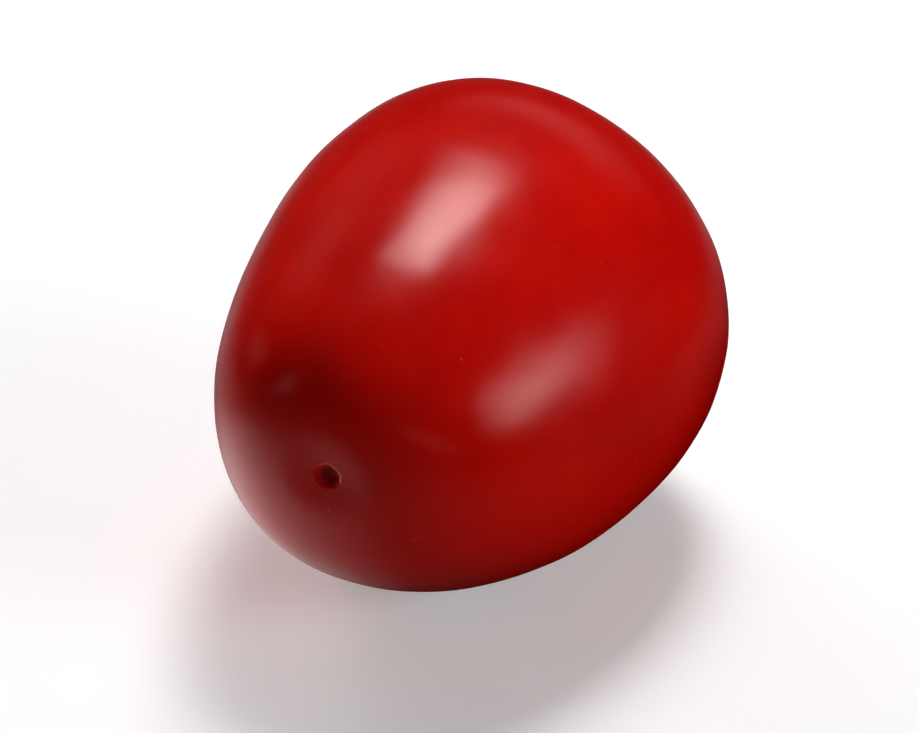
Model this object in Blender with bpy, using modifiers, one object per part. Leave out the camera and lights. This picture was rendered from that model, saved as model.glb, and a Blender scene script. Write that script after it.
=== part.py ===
# A ripe plum tomato, picked without its stalk, lying on its side on a small flattened spot.
#
# Metres, +Z up. The origin is the centre of the rest spot. The blossom end points to -Y and the
# stem end to +Y. The fruit grew as one piece, so it is one solid: a turned body, made uneven by
# its lobes, with a pit at the blossom end and a shallow basin with a corky scar at the stem end.

from math import atan2, cos, hypot, pi, radians, sin

import bmesh
import bpy
from mathutils import Matrix, Vector

# Body. The powers shape the outline: 2 everywhere makes an ellipse, and more makes it blunter.
FRUIT_LENGTH = 0.0734        # between the two ends, before they are dimpled
FRUIT_WIDTH = 0.0607         # across the middle
SHOULDER_GAIN = 0.0045       # what the radius gains towards the stem end, and loses towards the blossom end
BLOSSOM_POWER = 3.25
STEM_POWER = 2.45
SIDE_POWER = 2.1

# Lobes: the swellings over the seed chambers, which run from end to end
LOBE_COUNT = 3
LOBE_HEIGHT = 0.0008
LOBE_AT = radians(-6)        # turn of the first lobe about +Y, from +X towards +Z

# Blossom end: it leans off the long axis, and its scar is a small pit in a faint dimple
BLOSSOM_LEAN = Vector((-0.0017, 0.0, 0.0034))
DIMPLE_RADIUS = 0.0070
DIMPLE_DEPTH = 0.0004
PIT_RADIUS = 0.0014
PIT_DEPTH = 0.0017

# Stem end: a basin with furrows running out over the shoulders, and the scar that the stalk left
BASIN_RADIUS = 0.0125
BASIN_DEPTH = 0.0028
FURROW_COUNT = 5
FURROW_REACH = 0.0210
FURROW_DEPTH = 0.0014
SCAR_RADIUS = 0.0036
SCAR_HEIGHT = 0.0006

# Rest spot: how much of the underside is pressed flat
REST_DEPTH = 0.0016

# Mesh fineness
AROUND = 64                  # faces around the long axis
RINGS = 44                   # faces from end to end
RING_CROWDING = 0.88         # 0 spaces the rings evenly, and towards 1 they crowd at the two ends
WELD_DISTANCE = 0.00001
SHARP_ANGLE = radians(50)

SKIN_COLOUR = (0.52, 0.012, 0.006, 1.0)
SKIN_ROUGHNESS = 0.28


def clear_scene():
    for old in list(bpy.data.objects):
        bpy.data.objects.remove(old)


def bell(distance, reach):
    """1 at no distance, falling smoothly to 0 at reach."""
    share = min(distance / reach, 1.0)
    return (1 - share**2) ** 2


def profile_point(share):
    """Distance from the axis and place along it, at a share of the way from stem end to blossom end."""
    angle = pi * (share - RING_CROWDING * sin(2 * pi * share) / (2 * pi))
    across = max(sin(angle), 0.0)
    power = STEM_POWER if share < 0.5 else BLOSSOM_POWER
    along = max(1 - across**power, 0.0) ** (1 / SIDE_POWER)
    along = along if share < 0.5 else -along
    radius = (FRUIT_WIDTH / 2 + SHOULDER_GAIN * along) * across
    return radius, along * FRUIT_LENGTH / 2 + end_relief(radius, along)


def end_relief(radius, along):
    """How far the basin and scar, or the dimple and pit, move the surface along the axis."""
    if along > 0:
        return SCAR_HEIGHT * bell(radius, SCAR_RADIUS) - BASIN_DEPTH * bell(radius, BASIN_RADIUS)
    return DIMPLE_DEPTH * bell(radius, DIMPLE_RADIUS) + PIT_DEPTH * bell(radius, PIT_RADIUS)


def turned_body():
    """The even body as a bmesh, turned about Z and then laid along Y with its stem end at +Y."""
    outline = [profile_point(ring / RINGS) for ring in range(RINGS + 1)]
    points = [(radius, 0.0, height) for radius, height in outline]
    edges = [(ring, ring + 1) for ring in range(RINGS)]
    profile = bpy.data.meshes.new("profile")
    profile.from_pydata(points, edges, [])
    turned = bpy.data.objects.new("turned_profile", profile)
    bpy.context.scene.collection.objects.link(turned)

    screw = turned.modifiers.new("turn", "SCREW")
    screw.steps = AROUND
    screw.render_steps = AROUND
    screw.use_merge_vertices = True
    screw.merge_threshold = WELD_DISTANCE
    graph = bpy.context.evaluated_depsgraph_get()
    solid = bpy.data.meshes.new_from_object(turned.evaluated_get(graph))

    body = bmesh.new()
    body.from_mesh(solid)
    bmesh.ops.remove_doubles(body, verts=body.verts, dist=WELD_DISTANCE)
    bmesh.ops.rotate(body, verts=body.verts, matrix=Matrix.Rotation(radians(-90), 3, "X"))
    bpy.data.objects.remove(turned)
    bpy.data.meshes.remove(solid)
    bpy.data.meshes.remove(profile)
    return body


def swell_lobes(body):
    for vert in body.verts:
        radius = hypot(vert.co.x, vert.co.z)
        turn = atan2(vert.co.z, vert.co.x)
        gain = 1 + LOBE_HEIGHT / (FRUIT_WIDTH / 2) * cos(LOBE_COUNT * (turn - LOBE_AT))
        vert.co.x = gain * radius * cos(turn)
        vert.co.z = gain * radius * sin(turn)


def press_furrows(body):
    """Radial folds over the shoulders, which fade out towards the middle of the basin."""
    for vert in body.verts:
        if vert.co.y > 0:
            radius = hypot(vert.co.x, vert.co.z)
            turn = atan2(vert.co.z, vert.co.x)
            fold = (1 + cos(FURROW_COUNT * turn)) / 2
            vert.co.y -= FURROW_DEPTH * fold * bell(radius, FURROW_REACH) * (1 - bell(radius, BASIN_RADIUS))


def lean_blossom_end(body):
    """Moves each section off the long axis, the more the nearer it is to the blossom end."""
    for vert in body.verts:
        share = max(-vert.co.y / (FRUIT_LENGTH / 2), 0.0)
        vert.co += BLOSSOM_LEAN * share**2


def press_rest_spot(body):
    """Cuts the underside flat and moves the body so that the flat's centre is the origin."""
    lowest = min(vert.co.z for vert in body.verts)
    bmesh.ops.bisect_plane(
        body,
        geom=[*body.verts, *body.edges, *body.faces],
        plane_co=(0, 0, lowest + REST_DEPTH),
        plane_no=(0, 0, 1),
        clear_inner=True,
    )
    rim = [edge for edge in body.edges if edge.is_boundary]
    flat = bmesh.ops.holes_fill(body, edges=rim, sides=0)["faces"][0]
    bmesh.ops.recalc_face_normals(body, faces=body.faces)
    bmesh.ops.translate(body, verts=body.verts, vec=-flat.calc_center_bounds())


def skin_material():
    skin = bpy.data.materials.new("skin")
    skin.use_nodes = True
    shader = skin.node_tree.nodes["Principled BSDF"]
    shader.inputs["Base Color"].default_value = SKIN_COLOUR
    shader.inputs["Roughness"].default_value = SKIN_ROUGHNESS
    shader.inputs["Metallic"].default_value = 0.0
    return skin


def make_tomato(collection):
    body = turned_body()
    swell_lobes(body)
    press_furrows(body)
    lean_blossom_end(body)
    press_rest_spot(body)

    mesh = bpy.data.meshes.new("tomato")
    body.to_mesh(mesh)
    body.free()
    mesh.shade_smooth()
    mesh.set_sharp_from_angle(angle=SHARP_ANGLE)
    mesh.materials.append(skin_material())
    tomato = bpy.data.objects.new("tomato", mesh)
    collection.objects.link(tomato)


clear_scene()
plum_tomato = bpy.data.collections.new("plum_tomato")
bpy.context.scene.collection.children.link(plum_tomato)
make_tomato(plum_tomato)
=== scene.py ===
# A ripe plum tomato on a pale floor, picked without its stalk. Metres, +Z up: the blossom end points
# to -Y and the stem end to +Y, and the fruit lies on its flattened spot at the origin.

from math import acos, atan2, cos, hypot, pi, radians, sin

import bmesh
import bpy
from mathutils import Matrix, Vector, noise


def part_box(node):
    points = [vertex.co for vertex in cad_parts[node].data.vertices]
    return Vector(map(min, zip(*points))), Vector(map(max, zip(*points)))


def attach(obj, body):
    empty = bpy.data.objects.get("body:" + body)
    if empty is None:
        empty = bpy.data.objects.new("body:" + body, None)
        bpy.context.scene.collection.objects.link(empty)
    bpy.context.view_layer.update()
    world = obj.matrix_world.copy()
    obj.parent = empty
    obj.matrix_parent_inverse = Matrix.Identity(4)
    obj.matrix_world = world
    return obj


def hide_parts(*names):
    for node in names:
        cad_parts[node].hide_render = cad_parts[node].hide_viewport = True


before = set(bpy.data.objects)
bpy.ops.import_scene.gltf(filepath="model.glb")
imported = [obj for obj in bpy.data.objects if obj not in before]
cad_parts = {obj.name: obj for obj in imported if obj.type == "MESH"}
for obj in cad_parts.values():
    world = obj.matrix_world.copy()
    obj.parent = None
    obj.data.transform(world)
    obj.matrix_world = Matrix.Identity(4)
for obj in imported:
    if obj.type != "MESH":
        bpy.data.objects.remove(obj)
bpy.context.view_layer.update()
print("frame loaded")

scene = bpy.context.scene


def bell(distance, reach):
    # 1 at no distance, falling smoothly to 0 at reach
    share = min(distance / reach, 1.0)
    return (1 - share**2) ** 2


def smoothStep(value, low, high):
    share = min(max((value - low) / (high - low), 0.0), 1.0)
    return share * share * (3 - 2 * share)


def boxOf(points):
    low = Vector([min(p[i] for p in points) for i in range(3)])
    high = Vector([max(p[i] for p in points) for i in range(3)])
    return low, high


def addPiece(bm, name, material):
    # the finished mesh as a smooth-shaded piece, with its place in the mesh
    mesh = bpy.data.meshes.new(name)
    bmesh.ops.recalc_face_normals(bm, faces=bm.faces)
    bm.to_mesh(mesh)
    bm.free()
    mesh.shade_smooth()
    mesh.materials.append(material)
    piece = bpy.data.objects.new(name, mesh)
    scene.collection.objects.link(piece)
    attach(piece, "root")
    return piece


def newTree(owner, outputKind="ShaderNodeOutputMaterial", place=(400, 0)):
    # the cleared node tree of a material, world or lamp, with its output
    owner.use_nodes = True
    tree = owner.node_tree
    tree.nodes.clear()
    return tree, addNode(tree, outputKind, place)


def addNode(tree, kind, place=(0, 0), **settings):
    node = tree.nodes.new(kind)
    node.location = place
    for key, value in settings.items():
        setattr(node, key, value)
    return node


def setInput(tree, socket, value):
    # a link if value is another node's socket, and a constant otherwise
    if isinstance(value, bpy.types.NodeSocket):
        tree.links.new(value, socket)
    else:
        socket.default_value = value


def mathNode(tree, operation, first, second, third=None, place=(0, 0)):
    node = addNode(tree, "ShaderNodeMath", place, operation=operation)
    setInput(tree, node.inputs[0], first)
    setInput(tree, node.inputs[1], second)
    if third is not None:
        setInput(tree, node.inputs[2], third)
    return node.outputs[0]


def mixColour(tree, factor, first, second, place=(0, 0)):
    node = addNode(tree, "ShaderNodeMix", place, data_type="RGBA")
    setInput(tree, node.inputs["Factor"], factor)
    setInput(tree, node.inputs[6], first)
    setInput(tree, node.inputs[7], second)
    return node.outputs[2]


def mixShader(tree, factor, first, second, place=(0, 0)):
    node = addNode(tree, "ShaderNodeMixShader", place)
    for socket, value in zip(node.inputs, (factor, first, second)):
        tree.links.new(value, socket)
    return node.outputs[0]


def mapRange(tree, value, low, high, toLow=0.0, toHigh=1.0, place=(0, 0)):
    # a smooth step from toLow to toHigh while value goes from low to high
    node = addNode(tree, "ShaderNodeMapRange", place, interpolation_type="SMOOTHSTEP")
    setInput(tree, node.inputs["Value"], value)
    node.inputs["From Min"].default_value = low
    node.inputs["From Max"].default_value = high
    node.inputs["To Min"].default_value = toLow
    node.inputs["To Max"].default_value = toHigh
    return node.outputs["Result"]


def distanceTo(tree, position, point, place=(0, 0)):
    node = addNode(tree, "ShaderNodeVectorMath", place, operation="DISTANCE")
    setInput(tree, node.inputs[0], position)
    node.inputs[1].default_value = point
    return node.outputs["Value"]


def noiseValue(tree, vector, scale, detail=2.0, roughness=0.5, place=(0, 0)):
    node = addNode(tree, "ShaderNodeTexNoise", place)
    setInput(tree, node.inputs["Vector"], vector)
    setInput(tree, node.inputs["Scale"], scale)
    node.inputs["Detail"].default_value = detail
    node.inputs["Roughness"].default_value = roughness
    return node.outputs["Fac"]


def cellDistance(tree, vector, scale, feature, place=(0, 0)):
    node = addNode(tree, "ShaderNodeTexVoronoi", place, feature=feature)
    node.inputs["Scale"].default_value = scale
    tree.links.new(vector, node.inputs["Vector"])
    return node.outputs["Distance"]


def addBump(tree, shader, height, strength, distance, place=(0, 0)):
    node = addNode(tree, "ShaderNodeBump", place)
    node.inputs["Strength"].default_value = strength
    node.inputs["Distance"].default_value = distance
    tree.links.new(height, node.inputs["Height"])
    tree.links.new(node.outputs["Normal"], shader.inputs["Normal"])


fruit = {
    "length": 0.0734,                 # between the two ends, before they are dimpled
    "width": 0.0607,                  # across the middle
    "shoulderGain": 0.0045,           # radius gained towards the stem end and lost towards the blossom end
    "blossomPower": 3.25,             # the powers shape the outline, and more is blunter
    "stemPower": 2.45,
    "sidePower": 2.1,
    "lobeCount": 3,
    "lobeHeight": 0.0008,
    "lobeAt": radians(-6),            # turn of the first lobe about +Y, from +X towards +Z
    "blossomLean": Vector((-0.0017, 0.0, 0.0034)),
    "dimpleRadius": 0.0070,
    "dimpleDepth": 0.0004,
    "pitRadius": 0.0020,
    "pitDepth": 0.0011,
    "pitWobble": 0.00010,             # unevenness of the pit's edge
    "pitWobbleReach": 1.5,            # how far out it goes, in radii of the pit
    "pitWobbleScale": 1100,
    "basinRadius": 0.0125,
    "basinDepth": 0.0028,
    "furrowCount": 5,
    "furrowReach": 0.0210,
    "furrowDepth": 0.0011,
    "restRounding": 0.0012,           # how softly the flattened spot runs into the side
    "swellHeight": 0.00022,           # slow unevenness of the flesh
    "swellScale": 55.0,
    "swellDetail": (0.4, 2.7),        # strength and scale of the finer swells, against the slow ones
    "swellFrom": (0.006, 0.018),      # distance from the axis where the swells set in, and are full
    "around": 224,                    # faces around the long axis
    "rings": 240,                     # faces from end to end
    "ringCrowding": 0.88,             # 0 spaces the rings evenly, and towards 1 they crowd at the ends
}


def profilePoint(share):
    # distance from the axis and place along it, at a share of the way from stem end to blossom end
    angle = pi * (share - fruit["ringCrowding"] * sin(2 * pi * share) / (2 * pi))
    across = max(sin(angle), 0.0)
    power = fruit["stemPower"] if share < 0.5 else fruit["blossomPower"]
    along = max(1 - across**power, 0.0) ** (1 / fruit["sidePower"])
    along = along if share < 0.5 else -along
    radius = (fruit["width"] / 2 + fruit["shoulderGain"] * along) * across
    return radius, along * fruit["length"] / 2 + endRelief(radius, along)


def endRelief(radius, along):
    if along > 0:
        return -fruit["basinDepth"] * bell(radius, fruit["basinRadius"])
    dimple = fruit["dimpleDepth"] * bell(radius, fruit["dimpleRadius"])
    return dimple + fruit["pitDepth"] * bell(radius, fruit["pitRadius"])


def swellLobes(co):
    radius = hypot(co.x, co.z)
    turn = atan2(co.z, co.x)
    wave = cos(fruit["lobeCount"] * (turn - fruit["lobeAt"]))
    gain = 1 + fruit["lobeHeight"] / (fruit["width"] / 2) * wave
    co.x = gain * radius * cos(turn)
    co.z = gain * radius * sin(turn)


def pressFurrows(co):
    # folds over the shoulders, which fade out towards the middle of the basin
    if co.y > 0:
        radius = hypot(co.x, co.z)
        fold = (1 + cos(fruit["furrowCount"] * atan2(co.z, co.x))) / 2
        outside = 1 - bell(radius, fruit["basinRadius"])
        co.y -= fruit["furrowDepth"] * fold * bell(radius, fruit["furrowReach"]) * outside


def roughenPit(co):
    if co.y < 0:
        near = bell(hypot(co.x, co.z), fruit["pitWobbleReach"] * fruit["pitRadius"])
        co.y += fruit["pitWobble"] * near * noise.noise(co * fruit["pitWobbleScale"])


def leanBlossomEnd(co):
    # each section moves off the long axis, the more the nearer it is to the blossom end
    share = max(-co.y / (fruit["length"] / 2), 0.0)
    co += fruit["blossomLean"] * share**2


def swellFlesh(co):
    # uneven growth, which fades out at the two ends so that the pit and the basin keep their shape
    fade = smoothStep(hypot(co.x, co.z), *fruit["swellFrom"])
    strength, scale = fruit["swellDetail"]
    swell = noise.noise(co * fruit["swellScale"])
    swell += strength * noise.noise(co * fruit["swellScale"] * scale)
    co += co.normalized() * (fruit["swellHeight"] * fade * swell)


def pressRestSpot(co):
    # z is kept above the floor by a smooth maximum, so the flat has no edge
    soft = fruit["restRounding"]
    overlap = max(soft - abs(co.z), 0.0) / soft
    co.z = max(co.z, 0.0) + overlap**2 * soft / 4


def shapeFruit():
    bm = bmesh.new()
    bmesh.ops.create_uvsphere(bm, u_segments=fruit["around"], v_segments=fruit["rings"], radius=1.0)
    for vert in bm.verts:
        share = acos(max(min(vert.co.z, 1.0), -1.0)) / pi
        turn = atan2(vert.co.y, vert.co.x)
        radius, height = profilePoint(share)
        vert.co = (radius * cos(turn), radius * sin(turn), height)
    bmesh.ops.rotate(bm, verts=bm.verts, matrix=Matrix.Rotation(radians(-90), 3, "X"))
    for vert in bm.verts:
        swellLobes(vert.co)
        pressFurrows(vert.co)
        roughenPit(vert.co)
        leanBlossomEnd(vert.co)

    # the frame says where the fruit lies: its two sides, its two ends and its top
    low, high = boxOf([vert.co for vert in bm.verts])
    cadLow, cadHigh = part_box("tomato")
    place = (cadLow + cadHigh) / 2 - (low + high) / 2
    place.z = cadHigh.z - high.z
    for vert in bm.verts:
        swellFlesh(vert.co)
        vert.co += place
        pressRestSpot(vert.co)
    return bm, place


fruitMesh, fruitMiddle = shapeFruit()
print("fruit shaped")


def endPoint(share):
    # where the long axis leaves the skin at one end of the placed fruit
    point = Vector((0.0, profilePoint(share)[1], 0.0))
    leanBlossomEnd(point)
    return point + fruitMiddle


stemPoint = endPoint(0.0)
pitPoint = endPoint(1.0)


# the widths marked as shares are shares of the radius
stemScar = {
    "radius": 0.0043,
    "wobble": 0.14,                   # unevenness of the outline, as a share
    "wobbleScale": 1.7,
    "lift": 0.00042,                  # how far it stands above the floor of the basin
    "rimHeight": 0.00040,
    "rimAt": 0.66,                    # where the raised rim runs, as a share
    "rimReach": 0.42,                 # how wide it is, as a share
    "sink": 0.00045,                  # how deep the edge is buried in the skin
    "sinkFrom": 0.78,                 # where the edge starts to go down, as a share
    "hollow": 0.00028,                # depth of the middle, where the stalk broke away
    "hollowReach": 0.40,              # how wide that is, as a share
    "underside": 0.35,                # how deep the piece goes into the fruit, as a share
    "grainHeight": 0.00016,
    "grainScale": 1400,
    "around": 120,
    "rings": 72,
}


def scarTop(across, spot):
    # height above the floor of the basin, at a share of the radius
    rim = bell(abs(across - stemScar["rimAt"]), stemScar["rimReach"])
    middle = bell(across, stemScar["hollowReach"])
    height = stemScar["lift"] + stemScar["rimHeight"] * rim - stemScar["hollow"] * middle
    height -= stemScar["sink"] * smoothStep(across, stemScar["sinkFrom"], 1.0) * 2
    grain = noise.noise(spot * stemScar["grainScale"])
    return height + stemScar["grainHeight"] * grain * (1 - across**4)


def shapeStemScar():
    bm = bmesh.new()
    bmesh.ops.create_uvsphere(bm, u_segments=stemScar["around"], v_segments=stemScar["rings"], radius=1.0)
    for vert in bm.verts:
        across = hypot(vert.co.x, vert.co.y)
        turn = atan2(vert.co.y, vert.co.x)
        outline = noise.noise(Vector((cos(turn), sin(turn), 0.3)) * stemScar["wobbleScale"])
        radius = stemScar["radius"] * across * (1 + stemScar["wobble"] * outline)
        spot = Vector((radius * cos(turn), radius * sin(turn), 0.0))
        # it follows the floor of the basin, which rises outwards
        height = fruit["basinDepth"] * (1 - bell(radius, fruit["basinRadius"]))
        if vert.co.z >= 0:
            height += scarTop(across, spot)
        else:
            height += stemScar["radius"] * stemScar["underside"] * vert.co.z - stemScar["sink"]
        vert.co = (spot.x, spot.y, height)
    bmesh.ops.rotate(bm, verts=bm.verts, matrix=Matrix.Rotation(radians(-90), 3, "X"))
    bmesh.ops.translate(bm, verts=bm.verts, vec=stemPoint)
    return bm


def unevenToneGroup():
    # two colours blended by slow blotches, for whatever grew unevenly
    group = bpy.data.node_groups.new("unevenTone", "ShaderNodeTree")
    sockets = group.interface
    sockets.new_socket(name="Vector", in_out="INPUT", socket_type="NodeSocketVector")
    sockets.new_socket(name="Scale", in_out="INPUT", socket_type="NodeSocketFloat")
    sockets.new_socket(name="First", in_out="INPUT", socket_type="NodeSocketColor")
    sockets.new_socket(name="Second", in_out="INPUT", socket_type="NodeSocketColor")
    sockets.new_socket(name="Colour", in_out="OUTPUT", socket_type="NodeSocketColor")
    given = addNode(group, "NodeGroupInput", (-800, 0)).outputs
    result = addNode(group, "NodeGroupOutput", (400, 0)).inputs
    blotches = noiseValue(group, given["Vector"], given["Scale"], 3.0, 0.55, place=(-560, 0))
    mask = mapRange(group, blotches, 0.36, 0.66, place=(-300, 0))
    colour = mixColour(group, mask, given["First"], given["Second"])
    group.links.new(colour, result["Colour"])
    return group


def useUnevenTone(tree, group, vector, scale, first, second, place=(0, 0)):
    node = addNode(tree, "ShaderNodeGroup", place, node_tree=group)
    tree.links.new(vector, node.inputs["Vector"])
    node.inputs["Scale"].default_value = scale
    node.inputs["First"].default_value = first
    node.inputs["Second"].default_value = second
    return node.outputs["Colour"]


# reaches are distances where something sets in and where it is full; shares say how much of it then shows
skin = {
    "deepRed": (0.50, 0.0022, 0.0010, 1.0),
    "brightRed": (0.60, 0.0042, 0.0014, 1.0),
    "toneScale": 34.0,
    "warmRed": (0.62, 0.016, 0.003, 1.0),
    "streakScale": 420.0,
    "streakStretch": (1.0, 0.16, 1.0),
    "streakShare": 0.14,
    "shoulderReach": (0.034, 0.010),  # from the stalk's scar, as the halo's
    "shoulderShare": 0.28,
    "haloColour": (0.68, 0.17, 0.022, 1.0),
    "haloReach": (0.0125, 0.0040),
    "haloShare": 0.55,
    "haloGrain": 420.0,
    "haloMatt": 0.25,                 # roughness added in the halo
    "speckColour": (0.72, 0.16, 0.08, 1.0),
    "poreScale": 430.0,
    "poreEdge": (0.16, 0.05),         # in shares of the spacing of the pores
    "poreShare": 0.26,
    "poreGrouping": 160.0,            # scale of the patches where the pores show
    "poreRise": 0.4,                  # height of a pore, against the orange-peel relief
    # painted shade in the pit: its colour, where it sets in and how much of it shows
    "pitShadeColour": (0.22, 0.003, 0.002, 1.0),
    "pitReach": (0.0019, 0.0009),
    "pitShadeShare": 0.9,
    "pitMatt": 0.35,
    "roughness": 0.23,
    "roughnessSpread": 0.035,
    "waxScale": 90.0,                 # scale of the spread
    "peelScale": 260.0,
    "cellScale": 1500.0,
    "cellRise": 0.10,
    "bumpStrength": 0.30,
    "bumpDistance": 0.00004,
    "ior": 1.38,
    "glossTint": (1.0, 0.72, 0.70, 1.0),
    "glow": 0.16,                     # share of the light that goes through the flesh
    "depthOfGlow": 0.0022,
    "glowSpread": (1.0, 0.16, 0.08),  # how far red, green and blue go, as shares of that depth
}


def tomatoSkin(toneGroup):
    material = bpy.data.materials.new("tomato_skin")
    tree, output = newTree(material)
    shader = addNode(tree, "ShaderNodeBsdfPrincipled", (100, 0))
    tree.links.new(shader.outputs["BSDF"], output.inputs["Surface"])
    where = addNode(tree, "ShaderNodeTexCoord", (-1800, 0)).outputs["Object"]

    # streaks run from end to end, so the pattern is stretched along Y
    stretched = addNode(tree, "ShaderNodeMapping", (-1600, -300))
    stretched.inputs["Scale"].default_value = skin["streakStretch"]
    tree.links.new(where, stretched.inputs["Vector"])
    streaks = noiseValue(tree, stretched.outputs[0], skin["streakScale"], 3.0, 0.6, (-1400, -300))
    streaks = mapRange(tree, streaks, 0.45, 0.75, 0.0, skin["streakShare"], place=(-1200, -300))
    reds = (skin["deepRed"], skin["brightRed"])
    tone = useUnevenTone(tree, toneGroup, where, skin["toneScale"], *reds, place=(-1400, 100))
    tone = mixColour(tree, streaks, tone, skin["warmRed"], place=(-1000, 0))

    # the shoulders ripen last, and a paler halo is left round the stalk's scar
    fromStem = distanceTo(tree, where, stemPoint, (-1400, -600))
    reach = skin["shoulderReach"]
    shoulder = mapRange(tree, fromStem, *reach, 0.0, skin["shoulderShare"], place=(-1200, -600))
    tone = mixColour(tree, shoulder, tone, skin["warmRed"], place=(-800, 0))
    halo = mapRange(tree, fromStem, *skin["haloReach"], 0.0, skin["haloShare"], place=(-1200, -800))
    haloEdge = noiseValue(tree, where, skin["haloGrain"], 3.0, place=(-1400, -900))
    haloEdge = mapRange(tree, haloEdge, 0.3, 0.7, 0.65, 1.0, place=(-1200, -950))
    halo = mathNode(tree, "MULTIPLY", halo, haloEdge, place=(-1000, -800))
    tone = mixColour(tree, halo, tone, skin["haloColour"], place=(-600, 0))

    # tiny pale pores, a few of them stronger
    pores = cellDistance(tree, where, skin["poreScale"], "F1", (-1400, -1100))
    pores = mapRange(tree, pores, *skin["poreEdge"], place=(-1200, -1100))
    patches = noiseValue(tree, where, skin["poreGrouping"], 2.0, place=(-1400, -1250))
    patches = mapRange(tree, patches, 0.55, 0.72, 0.0, skin["poreShare"], place=(-1200, -1250))
    pores = mathNode(tree, "MULTIPLY", pores, patches, place=(-1000, -1100))
    tone = mixColour(tree, pores, tone, skin["speckColour"], place=(-400, 0))

    # painted shade: the skin is painted darker into the pit
    fromPit = distanceTo(tree, where, pitPoint, (-1400, -1400))
    pit = mapRange(tree, fromPit, *skin["pitReach"], 0.0, skin["pitShadeShare"], place=(-1200, -1400))
    tone = mixColour(tree, pit, tone, skin["pitShadeColour"], place=(-200, 0))
    tree.links.new(tone, shader.inputs["Base Color"])

    # the wax is uneven, and thin in the pit and on the halo
    wax = noiseValue(tree, where, skin["waxScale"], 4.0, 0.6, (-1000, -1600))
    smoothest = skin["roughness"] - skin["roughnessSpread"]
    roughest = skin["roughness"] + skin["roughnessSpread"]
    rough = mapRange(tree, wax, 0.3, 0.7, smoothest, roughest, place=(-800, -1600))
    rough = mathNode(tree, "MULTIPLY_ADD", pit, skin["pitMatt"], rough, place=(-600, -1600))
    rough = mathNode(tree, "MULTIPLY_ADD", halo, skin["haloMatt"], rough, place=(-400, -1600))
    tree.links.new(rough, shader.inputs["Roughness"])

    # a faint orange-peel, finer cell relief under it, and the pores a touch raised
    peel = noiseValue(tree, where, skin["peelScale"], place=(-1000, -1900))
    cells = noiseValue(tree, where, skin["cellScale"], place=(-1000, -2050))
    relief = mathNode(tree, "MULTIPLY_ADD", cells, skin["cellRise"], peel, place=(-800, -1900))
    relief = mathNode(tree, "MULTIPLY_ADD", pores, skin["poreRise"], relief, place=(-600, -1900))
    addBump(tree, shader, relief, skin["bumpStrength"], skin["bumpDistance"], (-200, -1900))

    shader.inputs["IOR"].default_value = skin["ior"]
    shader.inputs["Specular Tint"].default_value = skin["glossTint"]
    shader.inputs["Subsurface Weight"].default_value = skin["glow"]
    shader.inputs["Subsurface Radius"].default_value = skin["glowSpread"]
    shader.inputs["Subsurface Scale"].default_value = skin["depthOfGlow"]
    return material


cork = {
    "paleCork": (0.40, 0.23, 0.10, 1.0),
    "darkCork": (0.17, 0.075, 0.028, 1.0),
    "toneScale": 900.0,
    "crackColour": (0.045, 0.017, 0.008, 1.0),
    "crackScale": 1300.0,
    "crackEdge": (0.09, 0.01),        # in shares of the spacing of the cracks
    "crackDepth": 1.2,                # against the grain's height
    "grainScale": 3500.0,
    "coreReach": (0.0016, 0.0005),
    "coreShare": 0.75,
    "roughness": 0.82,
    "roughnessSpread": 0.1,
    "bumpStrength": 0.8,
    "bumpDistance": 0.00012,
}


def dryCork(toneGroup):
    material = bpy.data.materials.new("dry_cork")
    tree, output = newTree(material)
    shader = addNode(tree, "ShaderNodeBsdfPrincipled", (100, 0))
    tree.links.new(shader.outputs["BSDF"], output.inputs["Surface"])
    where = addNode(tree, "ShaderNodeTexCoord", (-1400, 0)).outputs["Object"]
    corks = (cork["darkCork"], cork["paleCork"])
    tone = useUnevenTone(tree, toneGroup, where, cork["toneScale"], *corks, place=(-1000, 0))
    cracks = cellDistance(tree, where, cork["crackScale"], "DISTANCE_TO_EDGE", (-1000, -300))
    cracks = mapRange(tree, cracks, *cork["crackEdge"], place=(-800, -300))
    tone = mixColour(tree, cracks, tone, cork["crackColour"], place=(-400, 0))

    # darker in the middle of the scar, over its hollow
    fromStem = distanceTo(tree, where, stemPoint, (-600, 300))
    core = mapRange(tree, fromStem, *cork["coreReach"], 0.0, cork["coreShare"], place=(-400, 300))
    tone = mixColour(tree, core, tone, cork["crackColour"], place=(-200, 100))
    tree.links.new(tone, shader.inputs["Base Color"])

    grain = noiseValue(tree, where, cork["grainScale"], 4.0, 0.6, (-1000, -600))
    smoothest = cork["roughness"] - cork["roughnessSpread"]
    roughest = cork["roughness"] + cork["roughnessSpread"]
    rough = mapRange(tree, grain, 0.3, 0.7, smoothest, roughest, place=(-600, -500))
    tree.links.new(rough, shader.inputs["Roughness"])
    relief = mathNode(tree, "MULTIPLY_ADD", cracks, -cork["crackDepth"], grain, place=(-600, -700))
    addBump(tree, shader, relief, cork["bumpStrength"], cork["bumpDistance"], (-200, -700))
    return material


toneGroup = unevenToneGroup()
tomatoFruit = addPiece(fruitMesh, "tomato_fruit", tomatoSkin(toneGroup))
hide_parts("tomato")
addPiece(shapeStemScar(), "stem_scar", dryCork(toneGroup))
print("pieces and finishes made")


# Floor, light and camera. Places and directions in the studio are given as (camera right, away, up).

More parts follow.
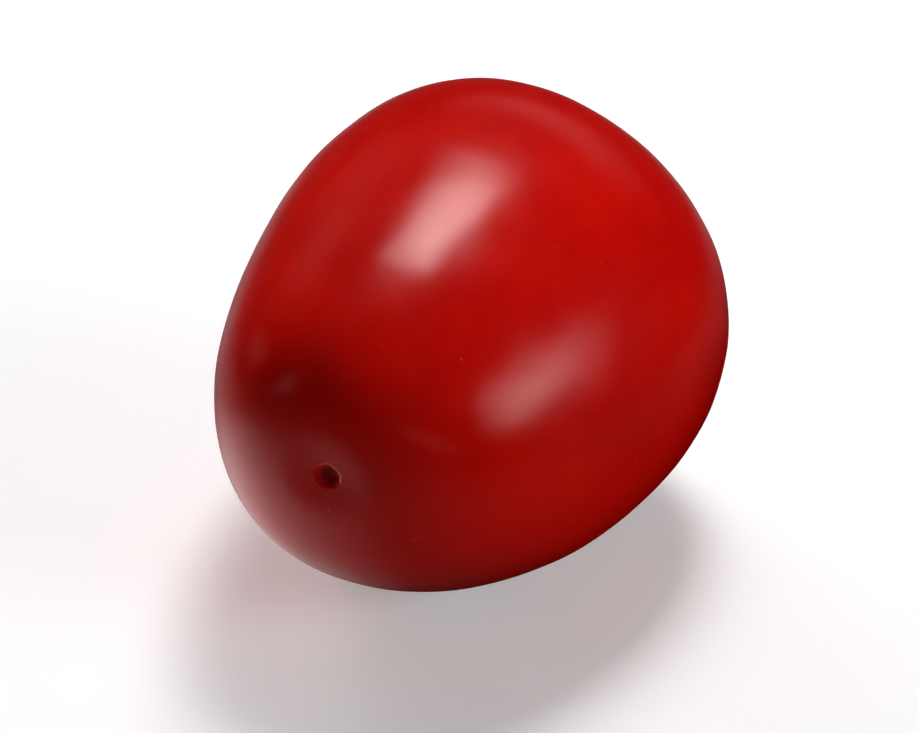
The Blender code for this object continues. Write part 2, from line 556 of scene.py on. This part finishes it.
studio = {
    "azimuth": 24.4,                  # degrees from looking along +Y, towards +X
    "elevation": 34.0,
    "distance": 0.875,
    "lens": 265.0,
    "sensorWidth": 36.0,
    "aim": Vector((0.0, 0.0, -0.0020)),
    "floorColour": (0.90, 0.89, 0.90, 1.0),
    "floorLift": 0.27,                # added to what the camera sees of the floor
    "floorRadius": 1.6,
    "floorDrop": 0.00015,             # gap under the fruit, which keeps the two surfaces apart
    "whiteFrom": (0.18, 0.50),        # how far out it starts to turn as white as the backdrop, and is
    "floorFade": (0.50, 0.98),        # shares of the radius where it starts to melt away, and is gone
    "frontPaintedGlow": 0.20,             # painted glow of the floor in front, kept dim as painted shade
    "rightShadeAt": (0.06, -0.04),          # where the painted shade at the right is full, and has ended, to the camera's right
    "rightShadeShare": 0.5,                 # what the painted shade at the right leaves of it
    "openFloorGlow": 0.14,                # painted glow of the floor behind and at the left
    "openDirection": (-0.6, 0.8),
    "openFrom": (0.0, 0.06),
    "leftPaintedGlow": 1.65,               # painted bounce light: the middle of a bright patch painted on the floor at the fruit's left, in place of a white card
    "leftGlowPlace": (-0.060, -0.025),
    "leftGlowReach": 0.055,
    "farFade": (0.05, 0.22),          # how far out the floor starts to dim, and is at its dimmest
    "farFloor": 0.08,                 # what is left of it there
    "backPaintedGlow": 0.9,                  # painted bounce light: a small bright patch painted on the floor behind the fruit, which lifts its underside
    "backGlowPlace": (0.0, 0.047),
    "backGlowReach": 0.036,
    "shadePlace": (0.020, 0.010),     # middle of the fruit's own shade on the floor
    "shadeReach": (0.028, 0.105),     # how far from there the floor is dark, and is fully lit
    "roomTop": 0.03,
    "roomHorizon": 0.004,
    "roomBelow": 0.03,
}

azimuth = radians(studio["azimuth"])
viewRight = Vector((cos(azimuth), sin(azimuth), 0.0))
viewAway = Vector((-sin(azimuth), cos(azimuth), 0.0))
viewUp = Vector((0.0, 0.0, 1.0))


def onFloor(name):
    right, away = studio[name]
    return viewRight * right + viewAway * away


def alongDirection(tree, where, direction, place):
    node = addNode(tree, "ShaderNodeVectorMath", place, operation="DOT_PRODUCT")
    node.inputs[1].default_value = direction
    tree.links.new(where, node.inputs[0])
    return node.outputs["Value"]


def floorGlow(tree, where):
    # painted light that the fruit sees of the floor: a painted bright patch at its left, and painted shade
    # in front and at its right
    toOpen = alongDirection(tree, where, onFloor("openDirection"), (-1600, 700))
    behind = mapRange(tree, toOpen, *studio["openFrom"], 0.0, studio["openFloorGlow"], place=(-1400, 700))
    # painted shade on the floor to the camera's right, and a dim painted glow in front
    toRight = alongDirection(tree, where, viewRight, (-1600, 500))
    rightShade = mapRange(tree, toRight, *studio["rightShadeAt"], studio["rightShadeShare"], 1.0, place=(-1400, 500))
    plain = mathNode(tree, "MULTIPLY_ADD", rightShade, studio["frontPaintedGlow"], behind, place=(-1200, 600))
    fromFoot = distanceTo(tree, where, onFloor("shadePlace"), (-1600, 100))
    lit = mapRange(tree, fromFoot, *studio["shadeReach"], place=(-1400, 100))
    far = mapRange(tree, fromFoot, *studio["farFade"], 1.0, studio["farFloor"], place=(-1400, -50))
    plain = mathNode(tree, "MULTIPLY", plain, far, place=(-1000, 500))

    # painted bounce light: a bright patch on the floor at the fruit's left
    fromLeftGlow = distanceTo(tree, where, onFloor("leftGlowPlace"), (-1600, 300))
    leftGlow = mapRange(tree, fromLeftGlow, studio["leftGlowReach"], 0.0, 0.0, studio["leftPaintedGlow"], place=(-1400, 300))
    # painted bounce light: a small bright patch on the floor behind the fruit
    fromBackGlow = distanceTo(tree, where, onFloor("backGlowPlace"), (-1600, -150))
    back = mapRange(tree, fromBackGlow, studio["backGlowReach"], 0.0, 0.0, studio["backPaintedGlow"], place=(-1400, -200))
    glowPatches = mathNode(tree, "ADD", leftGlow, back, place=(-1000, 200))
    return mathNode(tree, "MULTIPLY_ADD", plain, lit, glowPatches, place=(-800, 300))


def floorPaperAndGlow():
    # the camera sees lit paper that whitens outwards, and every other ray sees the floor's painted glow,
    # with painted bounce light and painted shade in it
    material = bpy.data.materials.new("floor_paper_and_painted_glow")
    tree, output = newTree(material, place=(600, 0))
    where = addNode(tree, "ShaderNodeTexCoord", (-1400, 0)).outputs["Object"]
    away = distanceTo(tree, where, (0.0, 0.0, 0.0), (-1000, -100))
    paper = addNode(tree, "ShaderNodeBsdfDiffuse", (-200, 600))
    paper.inputs["Color"].default_value = studio["floorColour"]
    lift = addNode(tree, "ShaderNodeEmission", (-200, 400))
    lift.inputs["Color"].default_value = studio["floorColour"]
    lift.inputs["Strength"].default_value = studio["floorLift"]
    lit = addNode(tree, "ShaderNodeAddShader", (0, 500))
    tree.links.new(paper.outputs[0], lit.inputs[0])
    tree.links.new(lift.outputs[0], lit.inputs[1])
    backdrop = addNode(tree, "ShaderNodeEmission", (0, 700))
    white = mapRange(tree, away, *studio["whiteFrom"], place=(-800, 1000))
    shown = mixShader(tree, white, lit.outputs[0], backdrop.outputs[0], (100, 600))

    # painted bounce light: the floor glows for every ray but the camera's
    paintedBounce = addNode(tree, "ShaderNodeEmission", (-200, 200))
    tree.links.new(floorGlow(tree, where), paintedBounce.inputs["Strength"])
    seen = addNode(tree, "ShaderNodeLightPath", (-1000, 800)).outputs["Is Camera Ray"]
    surface = mixShader(tree, seen, paintedBounce.outputs[0], shown, (200, 400))

    clear = addNode(tree, "ShaderNodeBsdfTransparent", (200, -100))
    fadeFrom, fadeTo = [studio["floorRadius"] * share for share in studio["floorFade"]]
    fade = mapRange(tree, away, fadeFrom, fadeTo, place=(-500, -100))
    melted = mixShader(tree, fade, surface, clear.outputs[0], (400, 0))
    tree.links.new(melted, output.inputs["Surface"])
    return material


def makeFloor():
    bm = bmesh.new()
    bmesh.ops.create_circle(bm, cap_ends=True, segments=96, radius=studio["floorRadius"])
    bmesh.ops.translate(bm, verts=bm.verts, vec=(0.0, 0.0, -studio["floorDrop"]))
    mesh = bpy.data.meshes.new("floor")
    bm.to_mesh(mesh)
    bm.free()
    mesh.materials.append(floorPaperAndGlow())
    floor = bpy.data.objects.new("floor", mesh)
    scene.collection.objects.link(floor)


def makeWorld():
    # the camera sees a white backdrop, and the fruit a dark room
    world = bpy.data.worlds.new("studio")
    scene.world = world
    tree, output = newTree(world, "ShaderNodeOutputWorld", (600, 0))
    backdrop = addNode(tree, "ShaderNodeBackground", (200, 200))
    backdrop.inputs["Color"].default_value = (1.0, 1.0, 1.0, 1.0)
    room = addNode(tree, "ShaderNodeBackground", (200, -100))
    where = addNode(tree, "ShaderNodeTexCoord", (-800, 0)).outputs["Generated"]
    split = addNode(tree, "ShaderNodeSeparateXYZ", (-600, 0))
    tree.links.new(where, split.inputs[0])
    height = split.outputs["Z"]
    above = mapRange(tree, height, 0.0, 1.0, studio["roomHorizon"], studio["roomTop"], place=(-400, 0))
    below = mapRange(tree, height, 0.0, -0.04, 0.0, studio["roomBelow"], place=(-400, -200))
    tree.links.new(mathNode(tree, "ADD", above, below, place=(-100, -100)), room.inputs["Strength"])
    seen = addNode(tree, "ShaderNodeLightPath", (-100, 400)).outputs["Is Camera Ray"]
    shown = mixShader(tree, seen, room.outputs[0], backdrop.outputs[0], (400, 0))
    tree.links.new(shown, output.inputs["Surface"])


# toward: direction; glare: brightness in the middle; gloss: whether the skin mirrors it. A lamp may also
# have roll, in degrees, and soft: how far in from each edge (left, right, near, far) the brightness
# climbs, in shares of the size
evenlySoft = (0.50, 0.50, 0.50, 0.50)
softboxes = {
    "top_softbox": {
        "toward": (0.05, 0.40, 0.915), "distance": 0.80, "size": (0.43, 0.375), "glare": 20.6,
        "gloss": True, "roll": -14.0, "soft": (0.75, 0.22, 0.25, 0.25),
    },
    "side_softbox": {
        "toward": (0.858, -0.378, 0.360), "distance": 0.90, "size": (0.90, 0.42), "glare": 8.2,
        "gloss": True,
    },
    "strip_light": {
        "toward": (-0.92, -0.38, 0.06), "distance": 0.90, "size": (0.16, 0.40), "glare": 1.2,
        "gloss": True,
    },
    "back_softbox": {
        "toward": (0.34, 0.87, 0.36), "distance": 0.90, "size": (1.10, 0.40), "glare": 0.45,
        "gloss": True,
    },
    "left_fill": {
        "toward": (-0.52, 0.76, 0.42), "distance": 1.00, "size": (0.80, 0.80), "glare": 5.6,
        "gloss": False,
    },
    "right_fill": {
        "toward": (0.92, -0.32, 0.22), "distance": 1.00, "size": (0.80, 0.40), "glare": 9.2,
        "gloss": False,
    },
    "top_fill": {
        "toward": (-0.10, 0.45, 0.88), "distance": 1.00, "size": (0.80, 0.80), "glare": 1.2,
        "gloss": False,
    },
    "rim_fill": {
        "toward": (-0.90, 0.38, 0.06), "distance": 1.00, "size": (0.60, 0.28), "glare": 13.5,
        "gloss": False,
    },
    "low_fill": {
        "toward": (0.08, -0.99, 0.07), "distance": 1.00, "size": (0.90, 0.14), "glare": 12.4,
        "gloss": False,
    },
}


def softEdges(light, soft):
    tree, output = newTree(light, "ShaderNodeOutputLight", (600, 0))
    emission = addNode(tree, "ShaderNodeEmission", (400, 0))
    split = addNode(tree, "ShaderNodeSeparateXYZ", (-600, 0))
    place = addNode(tree, "ShaderNodeNewGeometry", (-800, 0)).outputs["Parametric"]
    tree.links.new(place, split.inputs[0])
    left, right, near, far = soft
    edges = [("X", 1.0, 1.0 - left), ("X", 0.0, right), ("Y", 1.0, 1.0 - near), ("Y", 0.0, far)]
    strength = 1.0
    for axis, dark, bright in edges:
        climb = mapRange(tree, split.outputs[axis], dark, bright)
        strength = mathNode(tree, "MULTIPLY", strength, climb)
    tree.links.new(strength, emission.inputs["Strength"])
    tree.links.new(emission.outputs[0], output.inputs["Surface"])


def makeSoftboxes():
    for name, box in softboxes.items():
        light = bpy.data.lights.new(name, "AREA")
        light.shape = "RECTANGLE"
        light.size, light.size_y = box["size"]
        light.energy = box["glare"] * pi * light.size * light.size_y
        softEdges(light, box.get("soft", evenlySoft))
        lamp = bpy.data.objects.new(name, light)
        right, away, up = box["toward"]
        outward = (viewRight * right + viewAway * away + viewUp * up).normalized()
        across = viewUp.cross(outward).normalized()
        facing = Matrix((across, outward.cross(across), outward)).transposed().to_4x4()
        place = Matrix.Translation(fruitMiddle + outward * box["distance"])
        roll = Matrix.Rotation(radians(box.get("roll", 0.0)), 4, "Z")
        lamp.matrix_world = place @ facing @ roll
        lamp.visible_camera = False
        lamp.visible_glossy = box["gloss"]
        scene.collection.objects.link(lamp)


def makeCamera():
    data = bpy.data.cameras.new("camera")
    data.lens = studio["lens"]
    data.sensor_width = studio["sensorWidth"]
    camera = bpy.data.objects.new("camera", data)
    elevation = radians(studio["elevation"])
    back = (-viewAway * cos(elevation) + viewUp * sin(elevation)).normalized()
    target = fruitMiddle + studio["aim"]
    turned = back.to_track_quat("Z", "Y").to_matrix().to_4x4()
    camera.matrix_world = Matrix.Translation(target + back * studio["distance"]) @ turned
    scene.collection.objects.link(camera)
    scene.camera = camera


makeFloor()
makeWorld()
makeSoftboxes()
makeCamera()
scene.view_settings.view_transform = "Standard"
print("studio made")
